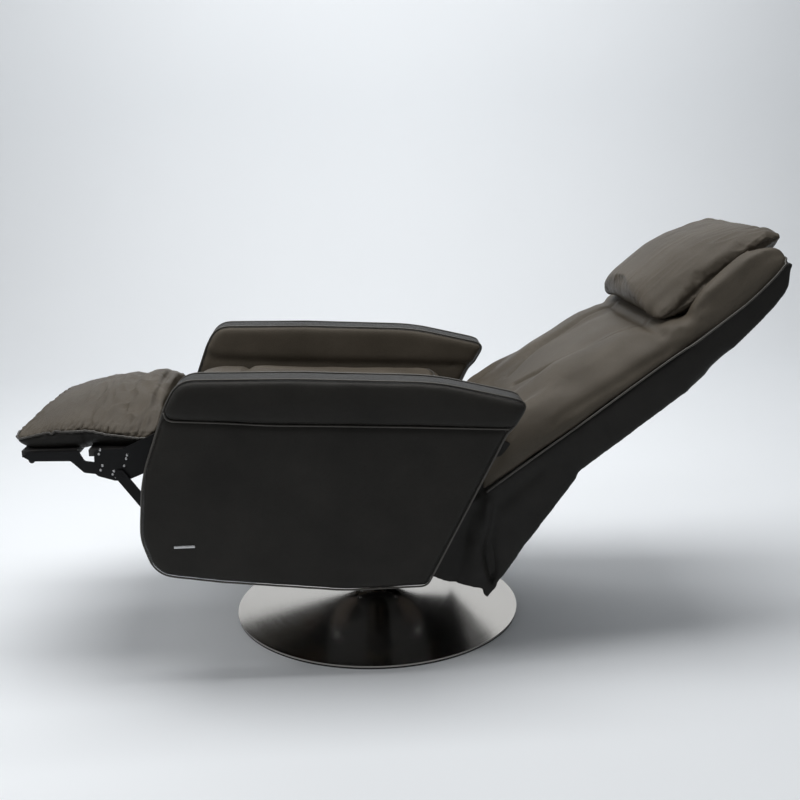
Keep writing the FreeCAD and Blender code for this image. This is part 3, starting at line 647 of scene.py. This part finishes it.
def fold(obj, line, width, depth, weight=1.0):  # a soft crease on both sides of a piece, in millimetres
    for path in bothSides(line):
        seam(obj, alongCurve(path, 0.008), width / 1000, depth / 1000, weight=weight)


def quickly(voxel):  # passes the voxel size on unchanged
    return voxel


# Arms: one cover each, flat below and padded above a piped valley in the outer face, piped at both edges

armLook = {"voxel": 0.006, "outer": 0.3415, "inner": 0.2745, "rimInset": 0.004, "rimSeam": (0.0045, 0.0022),
           "swell": 0.007, "swellFrom": 0.332, "swellOver": 0.012, "ripple": 0.0010, "waver": 0.0006,
           "pipe": 0.0019, "pipeSunk": 0.0015, "innerDepth": 0.002, "valleyAt": 0.3455,
           "valleySeam": (0.007, 0.005),
           "valley": [(-389, 543), (-385, 531), (-374, 526), (-360, 525), (-270, 519), (-198, 513),
                      (-88, 508), (40, 502), (151, 496), (244, 491)],
           "top": [(-390, 550), (-360, 602), (-150, 598), (110, 584), (258, 548), (280, 538)]}


def makeArm(look):
    piece = gather("armLeft", ["arm_core_left", "arm_pad_left"], quickly(look["voxel"]))
    rims = []
    for x, inset in ((look["outer"], -look["rimInset"]), (look["inner"], look["rimInset"])):
        rim = slicePlane(piece, (x + inset, 0, 0), (1, 0, 0), 0.005)
        rim[:, 0] = x
        rims.append(rim)
    relax(piece, 3)
    subdivide(piece)
    valley = alongCurve([(look["valleyAt"], y / 1000, z / 1000) for y, z in look["valley"]], 0.005)
    topY, topZ = np.array(look["top"]).T / 1000
    co = getCo(piece)
    foot = np.interp(co[:, 1], valley[:, 1], valley[:, 2])
    head = np.interp(co[:, 1], topY, topZ)
    rise = np.clip((co[:, 2] - foot) / np.maximum(head - foot, 0.01), 0, 1)
    outward = np.clip((co[:, 0] - look["swellFrom"]) / look["swellOver"], 0, 1)
    co[:, 0] += look["swell"] * outward * np.sin(math.pi * rise ** 0.85) ** 0.7
    setCo(piece, co)
    push(piece, look["ripple"] * wave(co * (1, 0.25, 1.0), 0.03, 5.0) * outward * (rise > 0))
    for rim in rims:
        seam(piece, rim, *look["rimSeam"], closed=True)
    seam(piece, valley, *look["valleySeam"])
    push(piece, look["waver"] * wave(getCo(piece), 0.09, 2.0))
    paint(piece, hides["armLeather"])
    # painted light: the inner faces take the paler seat leather, which stands for the light falling on them; the
    # outer faces keep the dark arm leather
    paintWhere(piece, faceCentres(piece)[:, 0] < look["inner"] + look["innerDepth"], hides["seatLeatherAndArmLight"])
    addPiping(piece, rims, look["pipe"], hides["pipingLeather"], closed=True)
    return addPiping(piece, [valley - (look["pipeSunk"], 0, 0)], look["pipe"], hides["pipingLeather"])


armLeft = makeArm(armLook)
armRight = mirrored(armLeft, "armRight")
for piece, side in ((armLeft, "left"), (armRight, "right")):
    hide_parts("arm_core_" + side, "arm_pad_" + side)
    smoothShade(piece)
    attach(piece, "seat")

plateLook = {"front": -0.3866, "rear": -0.3478, "height": 0.284, "half": 0.0025, "behind": 0.3425,
             "face": 0.3462, "edge": 0.0006}


def makePlate(look):  # small blank plate on the arm's outer face
    low, high = look["height"] - look["half"], look["height"] + look["half"]
    plate = prism([(look["front"], low), (look["rear"], low), (look["rear"], high), (look["front"], high)],
                  look["behind"], look["face"])
    plate.name = "armPlate"
    bevel = plate.modifiers.new("edge", "BEVEL")
    bevel.width = look["edge"]
    bevel.segments = 2
    dress(settle(plate), metals["zincSteel"], "seat")


makePlate(plateLook)
print("arms done")


# Seat: crowned cushion with a front roll, a welt round it and three top panels

seatLook = {"voxel": 0.0065, "pressure": 3.5, "cap": 0.008, "drop": 0.010, "rim": 0.496,
            "sideFall": (2.4, 0.8), "roll": 0.12, "panel": 0.125, "panelEnd": 0.08, "welt": 0.042,
            "pipe": 0.0024,
            "crossSeam": (0.009, 0.007), "panelSeam": (0.009, 0.006), "weltSeam": (0.006, 0.003),
            "waver": 0.0018, "pucker": 0.0010, "puckerReach": 0.022}


def makeSeat(look):
    low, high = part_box("seat_cushion")
    piece = relax(gather("seatCushion", ["seat_cushion"], quickly(look["voxel"])), 3)
    puff(piece, look["pressure"], look["cap"])
    subdivide(piece)
    rollEnd, top = low[1] + look["roll"], high[2] - look["drop"]
    above = top + 0.01
    co = getCo(piece)
    across = np.clip(np.abs(co[:, 0]) / high[0], 0, 1)
    rise = np.clip(co[:, 2] - look["rim"], 0, 1)  # the crown falls off to both sides
    bend, flat = look["sideFall"]
    share = (1 - look["drop"] / (high[2] - look["rim"])) * (1 - across ** bend) ** flat
    co[:, 2] -= rise * (1 - share)
    setCo(piece, co)
    welt = slicePlane(piece, (0, 0, top - look["welt"]), (0, 0, 1))
    cross = ontoSurface(piece, [(x, rollEnd, above) for x in np.linspace(low[0] + 0.01, high[0] - 0.01, 60)])
    seam(piece, cross, *look["crossSeam"])
    lines = [cross]
    for sign in (-1, 1):
        line = ontoSurface(piece, [(sign * look["panel"], y, above)
                                   for y in np.linspace(rollEnd, high[1] - look["panelEnd"], 50)])
        seam(piece, line, *look["panelSeam"])
        lines.append(line)
    seam(piece, welt, *look["weltSeam"], closed=True)
    co = getCo(piece)
    push(piece, look["waver"] * wave(co * (0.5, 1, 1), 0.05, 1.0))
    for line in lines:  # short puckers that run away from each seam
        near = np.exp(-(nearLine(co, line) / look["puckerReach"]) ** 2)
        push(piece, look["pucker"] * near * wave(co * (1.6, 1.6, 0.4), 0.010, 4.0))
    paint(piece, hides["seatLeatherAndArmLight"])
    addPiping(piece, [welt], look["pipe"], hides["pipingLeather"], closed=True)
    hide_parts("seat_cushion")
    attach(piece, "seat")


makeSeat(seatLook)
print("seat done")


# Back and head: one front cover and one rear cover, each running from the back over the head. Outlines are in
# millimetres along the rest and out of its front, from the hinge of the back or of the head.

frontLook = {"voxel": 0.0074, "pressure": 2.5, "cap": 0.007, "pipe": 0.0021, "waver": 0.0016,
             "neck": {"back": [(395, -29), (390, 20), (436, 14)], "head": [(20, 50), (20, 9)]},
             "neckHalf": 0.252,
             "fillings": [  # lower corners beside the seat, and the head's sides, which hold the pillow
                 (backAt, 0.225, 0.2590, [(-56, -31), (-50, 14), (30, 24), (110, 26), (200, 20), (230, -31)]),
                 (backAt, 0.200, 0.243, [(-56, -31), (-48, 30), (20, 52), (110, 52), (190, 40), (230, -31)]),
                 (headAt, 0.208, 0.246, [(-40, 22), (-12, 50), (24, 76), (60, 88), (110, 93), (165, 93),
                                         (200, 83), (221, 68), (224, 46), (208, 22)]),
                 (headAt, 0.200, 0.2585, [(-25, 32), (0, 62), (30, 68), (180, 62), (214, 50), (221, 40),
                                          (211, 20), (106, 22)])],
             "meltFrom": 0.175, "meltOver": 0.03, "meltBelow": 290, "meltFade": 60, "hidden": -24,
             "heldFrom": 10, "heldOver": 15, "neckUp": 400,
             "panel": [(117, 44, 73), (200, 88, 54), (290, 110, 46), (345, 126, 45), (395, 132, 26)],
             "panelSeam": (0.008, 0.006), "pucker": 0.0009, "puckerReach": 0.02,
             "neckSeam": (0.010, 0.005), "cheekFold": [(258, 18, 56), (262, 24, 40), (262, 32, 14)],
             "welt": {"back": [(-52, -34), (60, -32), (172, -31), (307, -28), (400, -27)],
                      "head": [(-17, 34), (50, 28), (106, 24), (165, 26), (204, 32)]},
             "weltSide": 260.5, "weltEnd": [(256, 213, 34), (244, 218, 34), (200, 219, 34), (0, 219, 34)]}


def makeFront(look):
    fillings = [prism(backThenHead(0, look["neck"]), -look["neckHalf"], look["neckHalf"])]
    for sign in (-1, 1):
        for at, inner, outer, outline in look["fillings"]:
            fillings.append(prism([at(0, u, n) for u, n in outline], *sorted((sign * inner, sign * outer))))
    piece = gather("backCover", ["back_cushion", "head_cushion"] + fillings, quickly(look["voxel"]))
    relax(piece, 4)
    co = getCo(piece)
    up, out = onBack(co)
    beside = np.clip((np.abs(co[:, 0]) - look["meltFrom"]) / look["meltOver"], 0, 1)
    firm = 1 - beside * np.clip((look["meltBelow"] - up) / look["meltFade"], 0, 1)
    relax(piece, 14, held=np.maximum(firm, (out < look["hidden"]) * 1.0))  # melts the fillings in
    held = np.clip((-out - look["heldFrom"]) / look["heldOver"], 0, 1) * (up < look["neckUp"])
    puff(piece, look["pressure"], look["cap"], held=held)  # the hidden rear face stays on its boards
    subdivide(piece)
    co = getCo(piece)
    for sign in (-1, 1):
        line = ontoSurface(piece, alongCurve([backAt(sign * x, u, n) for u, x, n in look["panel"]], 0.008))
        seam(piece, line, *look["panelSeam"])
        near = np.exp(-(nearLine(co, line) / look["puckerReach"]) ** 2)
        push(piece, look["pucker"] * near * wave(co, 0.009, 7.0))
    neck = ontoSurface(piece, [backAt(x, look["neckUp"], 40) for x in np.linspace(-250, 250, 60)])
    seam(piece, neck, *look["neckSeam"])
    fold(piece, [headAt(*p) for p in look["cheekFold"]], 7, 4)
    push(piece, look["waver"] * wave(co * (0.6, 1, 1), 0.07, 3.0))
    return paint(piece, hides["seatLeatherAndArmLight"])


rearLook = {"voxel": 0.0055, "wide": 0.2690, "tucked": 0.252, "tuckedBelow": 300, "tuckedOut": -31,
            "shell": {"back": [(300, -28), (300, -103)],
                      "head": [(-7, -29.5), (165, -15), (181, -9), (215, 22), (208, 33), (106, 25),
                               (-17, 35)]},
            "shellHalf": 0.2585, "bendUp": 440, "bendReach": 60, "bendFade": 30, "bendOut": -45,
            "foldSide": 262, "deepFold": 10, "folds": [  # width, depth and path of each
                (12, 15, [(-70, -86), (-96, -112), (-124, -150), (-146, -196)]),
                (10, -8, [(-62, -52), (-84, -84), (-108, -122), (-130, -160), (-150, -204)]),
                (20, -7, [(-132, -112), (-160, -150)]),
                (18, 7, [(-100, -50), (-150, -92), (-205, -150)]),
                (12, 3, [(60, -60), (-20, -70), (-60, -74)]), (5, 1.2, [(243, -30), (210, -80)])],
            "looseBelow": 90, "looseFade": 120, "looseSide": 0.235, "loose": 0.0035, "waver": 0.0008}


def makeRear(look):
    headFill = prism(backThenHead(0, look["shell"]), -look["shellHalf"], look["shellHalf"])
    piece = gather("rearCover", list(rearNodes) + [headFill], quickly(look["voxel"]))
    relax(piece, 4)
    up, out = onBack(getCo(piece))
    bend = np.clip((look["bendReach"] - np.abs(up - look["bendUp"])) / look["bendFade"], 0, 1)
    relax(piece, 30, held=1 - bend * (out < look["bendOut"]))  # one soft curve behind the neck
    up, out = onBack(getCo(piece))
    deeper = np.clip((-50 - up) / 80, 0.25, 1)
    for width, depth, path in look["folds"]:
        weight = deeper if depth > look["deepFold"] else 1.0
        fold(piece, [backAt(look["foldSide"], u, n) for u, n in path], width, depth, weight)
    co = getCo(piece)
    up, out = onBack(co)
    loose = np.clip((look["looseBelow"] - up) / look["looseFade"], 0, 1)
    loose = loose * (np.abs(co[:, 0]) > look["looseSide"])
    push(piece, loose * look["loose"] * wave(co * (1, 1, 0.6), 0.035, 9.0))
    push(piece, look["waver"] * wave(co, 0.06, 3.5))
    co = getCo(piece)
    up, out = onBack(co)
    under = (out > look["tuckedOut"]) & (up < look["tuckedBelow"])  # tucked in under the front cover
    edge = np.where(under, look["tucked"], look["wide"])
    co[:, 0] = np.clip(co[:, 0], -edge, edge)
    setCo(piece, co)
    return paint(piece, hides["sideLeather"])


def sewWelt(cover, look):  # piping up both side edges and round the head's top end
    points = backThenHead(look["weltSide"], look["welt"]) + [headAt(*p) for p in look["weltEnd"]]
    line = alongCurve(points, 0.006)
    fold(cover, line[::3], 5, 2)
    end = line[:, 1] > headAt(0, 208, 33)[1]  # round the top end it hugs the cover
    line[end] = ontoSurface(cover, line[end], 0.001)
    addPiping(cover, bothSides(line), look["pipe"], hides["pipingLeather"])


frontNodes = ("back_cushion", "head_cushion")
rearNodes = ("back_board_left", "back_board_right", "back_panel", "head_shell", "back_skirt",
             "side_flap_left", "side_flap_right")
backCover, rearCover = makeFront(frontLook), makeRear(rearLook)
sewWelt(backCover, frontLook)
for piece, covered, slot in ((backCover, frontNodes, "leather_seat"), (rearCover, rearNodes, "leather_side")):
    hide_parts(*covered)
    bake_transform(piece)
print("back done")


# Head pillow: loose cover with fine creases up its length and a gathered seam round each end

pillowLook = {"voxel": 0.0050, "pressure": 4.0, "cap": 0.008, "foot": 74, "full": 1.36, "least": 0.25,
              "half": 0.216, "sideFall": (2.6, 0.5), "topUp": 272, "topOver": 130, "topFall": 0.6,
              "crease": 0.0026, "gather": 0.0022, "gatherReach": 0.016, "seamSide": 208, "seamJag": 0.003,
              "seam": [(-44, 92), (-20, 88), (17, 91), (63, 93), (111, 90), (166, 80), (207, 68), (236, 54)],
              "endSeam": (0.0045, 0.005)}


def makePillow(look):
    piece = relax(gather("headPillow", ["pillow"], quickly(look["voxel"])), 8)
    co = getCo(piece)
    up, out = onHead(co)
    across = np.clip(np.abs(co[:, 0]) / look["half"], 0, 1)
    lift = np.clip(out - look["foot"], 0, None)  # fuller in the middle, falling off to both ends and the top
    bend, flat = look["sideFall"]
    share = (look["full"] * (1 - across ** bend) ** flat
             * np.clip((look["topUp"] - up) / look["topOver"], 0, 1) ** look["topFall"])
    outward = leanAxes(backLook["headLean"])[1]
    co[:, 1:] += (lift * (np.clip(share, look["least"], None) - 1) / 1000)[:, None] * outward
    setCo(piece, co)
    relax(piece, 4)
    puff(piece, look["pressure"], look["cap"])
    subdivide(piece)
    co = getCo(piece)
    up, out = onHead(co)
    stretched = np.stack([co[:, 0], up / 1000 * 0.14, out / 1000 * 0.8], 1)
    crease = 1 - 2.4 * np.abs(wave(stretched, 0.024, 2.0))  # sharp valleys between soft rolls
    ends = np.clip((np.abs(co[:, 0]) - 0.08) / 0.08, 0.3, 1)
    push(piece, look["crease"] * (crease - 0.5) * ends)
    for sign in (-1, 1):
        side = sign * look["seamSide"]
        line = ontoSurface(piece, alongCurve([headAt(side, v, m) for v, m in look["seam"]], 0.004))
        line[:, 2] += np.array([noise.noise(Vector(p) / 0.008) for p in line]) * look["seamJag"]
        co = getCo(piece)
        up, out = onHead(co)
        near = np.exp(-(nearLine(co, line) / look["gatherReach"]) ** 2)
        puckers = wave(np.stack([co[:, 0] * 0.3, up / 1000, out / 3000], 1), 0.007, 6.0)
        push(piece, look["gather"] * near * puckers)
        seam(piece, line, *look["endSeam"])
    paint(piece, hides["seatLeatherAndArmLight"])
    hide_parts("pillow")
    smoothShade(piece)
    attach(piece, "head_pillow")


makePillow(pillowLook)
print("pillow done")


# Footrest: one long pad over calf and toe, across the toe hinge, gathered over its welt

footLook = {"voxel": 0.0052, "bridge": 0.012, "pressure": 3.5, "cap": 0.009, "pipe": 0.0022,
            "crown": [(-702, 478), (-694, 487), (-673, 498), (-640, 511), (-580, 527), (-508, 540),
                      (-432, 547)],
            "slices": (-0.71, -0.40, 0.012), "half": 0.2525, "sideFall": 0.85,
            "toeFrom": -0.60, "toeOver": 0.10, "toeNarrow": 0.07,
            "weltSide": 0.2495,
            "welt": [(-434, 468), (-481, 472), (-518, 480), (-552, 488), (-580, 489), (-625, 488),
                     (-665, 479), (-688, 477)],
            "nose": [(0.238, -0.694, 0.4765), (0.21, -0.697, 0.4765), (0.0, -0.698, 0.4765)],
            "gather": 0.0105, "gatherReach": 0.034, "pitch": 0.0135, "crease": 0.0034,
            "valleyAt": -0.500, "valleySeam": (0.013, 0.006), "weltSeam": (0.005, 0.003),
            "bend": (0.03, 0.04)}


def domed(obj, welt, look):  # the top rises from the welt to a crown line and falls off to both sides
    co = getCo(obj)
    base = np.interp(co[:, 1], welt[::-1, 1], welt[::-1, 2])
    bins = np.arange(*look["slices"])
    index = np.clip(np.digitize(co[:, 1], bins), 0, len(bins) - 1)
    tops = np.array([co[index == k, 2].max(initial=0.48) for k in range(len(bins))])
    old = np.maximum(np.interp(co[:, 1], bins - look["slices"][2] / 2, tops) - base, 0.004)
    y, z = np.array(look["crown"]).T / 1000
    side = np.clip(np.abs(co[:, 0]) / look["half"], 0, 1)
    new = (np.interp(co[:, 1], y, z) - base) * (1 - side ** 2) ** look["sideFall"]
    share = np.clip((co[:, 2] - base) / old, 0, 1.1)
    co[:, 2] = np.where(co[:, 2] > base, base + share * np.maximum(new, 0.002), co[:, 2])
    toe = np.clip((look["toeFrom"] - co[:, 1]) / look["toeOver"], 0, 1)
    co[:, 0] *= 1 - look["toeNarrow"] * toe ** 2
    setCo(obj, co)
    relax(obj, 3)


def makeFoot(look):
    piece = gather("footPad", ["calf_cushion", "toe_cushion"], quickly(look["voxel"]))
    closeGaps(piece, look["bridge"], quickly(look["voxel"]))
    relax(piece, 3)
    puff(piece, look["pressure"], look["cap"])
    subdivide(piece)
    side = [(look["weltSide"], y / 1000, z / 1000) for y, z in look["welt"]]
    welt = alongCurve(side + look["nose"], 0.005)
    domed(piece, welt, look)
    co = getCo(piece)
    above = co[:, 2] - np.interp(co[:, 1], welt[::-1, 1], welt[::-1, 2])
    off = np.minimum(*[nearLine(co, line) for line in bothSides(welt)])
    near = np.exp(-(off / look["gatherReach"]) ** 2)
    along = co[:, 1] + 0.35 * np.abs(co[:, 0]) + 0.004 * wave(co, 0.02, 1.0)
    pleat = np.abs(np.sin(math.pi * along / look["pitch"]))
    strength = 0.6 + 0.8 * wave(co, 0.04, 8.0)
    push(piece, look["gather"] * near * (pleat - 0.6) * strength * (above > -0.004))
    creases = 1 - 2 * np.abs(wave(co * (0.25, 1, 1), 0.022, 4.0))
    calf = np.clip((co[:, 1] + 0.62) / 0.06, 0.25, 1) * (co[:, 2] > 0.478)  # softer creases on the toe
    push(piece, look["crease"] * creases * calf)
    valley = ontoSurface(piece, [(x, look["valleyAt"], 0.56) for x in np.linspace(-0.24, 0.24, 50)])
    seam(piece, valley, *look["valleySeam"])
    lines = [ontoSurface(piece, line) for line in bothSides(welt)]
    for line in lines:
        seam(piece, line, *look["weltSeam"])
    paint(piece, hides["seatLeatherAndArmLight"])
    middle = faceCentres(piece)
    below = middle[:, 2] < np.interp(middle[:, 1], welt[::-1, 1], welt[::-1, 2]) - 0.003
    paintWhere(piece, below, hides["sideLeather"])
    addPiping(piece, lines, look["pipe"], hides["pipingLeather"])
    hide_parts("calf_cushion", "toe_cushion")
    x, y, z = jointAt("toe_fold")
    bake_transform(piece)


makeFoot(footLook)

rivetLook = {"radius": 0.0026, "rise": 0.0012,
             "at": [(-529, 452), (-532, 444), (-494, 454), (-479, 440), (-481, 433), (-486, 419), (-527, 421),
                    (-531, 412), (-506, 409), (-509, 403), (-503, 397)]}


def makeRivets(look):  # small bright heads on the outer faces of the footrest's side plates
    bm = bmesh.new()
    for plate, sign in (("foot_plate_left", 1), ("foot_plate_right", -1)):
        tree = BVHTree.FromObject(nodes[plate], bpy.context.evaluated_depsgraph_get())
        for y, z in look["at"]:
            hit = tree.ray_cast(Vector((sign * 0.4, y / 1000, z / 1000)), Vector((-sign, 0, 0)))[0]
            if hit:
                ball = bmesh.ops.create_uvsphere(bm, u_segments=12, v_segments=8, radius=look["radius"])
                bmesh.ops.scale(bm, verts=ball["verts"], vec=(look["rise"] / look["radius"], 1, 1))
                bmesh.ops.translate(bm, verts=ball["verts"], vec=hit)
    mesh = bpy.data.meshes.new("footRivets")
    bm.to_mesh(mesh)
    bm.free()
    dress(linkNew("footRivets", mesh), metals["zincSteel"], "footrest")


makeRivets(rivetLook)
print("footrest done")


# Floor, light and camera

stageLook = {"tone": (0.84, 0.865, 0.89), "near": 5.0, "wall": -2.6, "curve": 1.3, "top": 5.0, "half": 7.0,
             "room": (0.93, 0.95, 0.97), "roomLight": 0.2}
lampLooks = {"topLamp": {"at": (0.05, -0.2, 2.6), "target": (0.05, -0.2, 0), "size": (1.2, 2.6), "power": 52},
             "rakeLamp": {"at": (0.9, -2.4, 1.9), "target": (0, 0, 0.5), "size": (0.6, 0.6), "power": 16},
             "sideLamp": {"at": (3.2, 1.6, 1.9), "target": (0, 0, 0.5), "size": (1.8, 1.8), "power": 4},
             "wallLamp": {"at": (-1.8, 0.2, 3.2), "target": (-3.6, 0.2, 0.9), "size": (4.0, 1.2),
                          "power": 62}}
cameraLook = {"at": (2.22596, -0.05683, 0.99440), "lens": 47.57, "sensor": 36, "yaw": 0.05198,
              "pitch": 0.22997, "roll": -0.01863}


def makeBackdrop(look):  # floor that curves up into a wall, so no edge shows
    mat, tree, shader = newMaterial("paleFloor")
    cloud = addNode(tree, "ShaderNodeTexNoise", Scale=0.9, Detail=3.0)
    tree.links.new(place(tree), cloud.inputs["Vector"])
    lighter = tuple(min(1.0, v * 1.05) for v in look["tone"])
    tree.links.new(mixColour(tree, cloud.outputs["Fac"], look["tone"], lighter), shader.inputs["Base Color"])
    shader.inputs["Roughness"].default_value = 0.7
    bends = [(look["wall"] - look["curve"] * math.sin(a), look["curve"] * (1 - math.cos(a)))
             for a in np.linspace(0, math.pi / 2, 24)]
    line = [(look["near"], 0.0)] + bends + [(bends[-1][0], look["top"])]
    points = [(x, side * look["half"], z) for x, z in line for side in (-1, 1)]
    faces = [(2 * k, 2 * k + 2, 2 * k + 3, 2 * k + 1) for k in range(len(line) - 1)]
    sheet = meshFrom("backdrop", points, faces)
    paint(smoothShade(sheet), mat)


def areaLamp(name, look):
    data = bpy.data.lights.new(name, "AREA")
    data.shape = "RECTANGLE"
    data.size, data.size_y = look["size"]
    data.energy = look["power"]
    lamp = linkNew(name, data)
    lamp.location = look["at"]
    lamp.rotation_euler = (Vector(look["target"]) - Vector(look["at"])).to_track_quat("-Z", "Y").to_euler()


def makeCamera(look):
    cy, sy = math.cos(look["yaw"]), math.sin(look["yaw"])
    cp, sp = math.cos(look["pitch"]), math.sin(look["pitch"])
    ahead = Vector((-cy * cp, sy * cp, -sp))
    right = ahead.cross(Vector((0, 0, 1))).normalized()
    up = right.cross(ahead)
    cr, sr = math.cos(look["roll"]), math.sin(look["roll"])
    side, top = right * cr + up * sr, up * cr - right * sr
    data = bpy.data.cameras.new("camera")
    data.lens = look["lens"]
    data.sensor_width = look["sensor"]
    camera = linkNew("camera", data)
    turn = Matrix((side, top, -ahead)).transposed().to_4x4()
    camera.matrix_world = Matrix.Translation(look["at"]) @ turn
    bpy.context.scene.camera = camera


def lightRoom(look):
    world = bpy.data.worlds.new("paleRoom")
    world.use_nodes = True
    sky = world.node_tree.nodes["Background"]
    sky.inputs["Color"].default_value = (*look["room"], 1)
    sky.inputs["Strength"].default_value = look["roomLight"]
    bpy.context.scene.world = world


makeBackdrop(stageLook)
makeCamera(cameraLook)
for name, look in lampLooks.items():
    areaLamp(name, look)
lightRoom(stageLook)
bpy.context.scene.view_settings.view_transform = "Standard"
print("stage done")
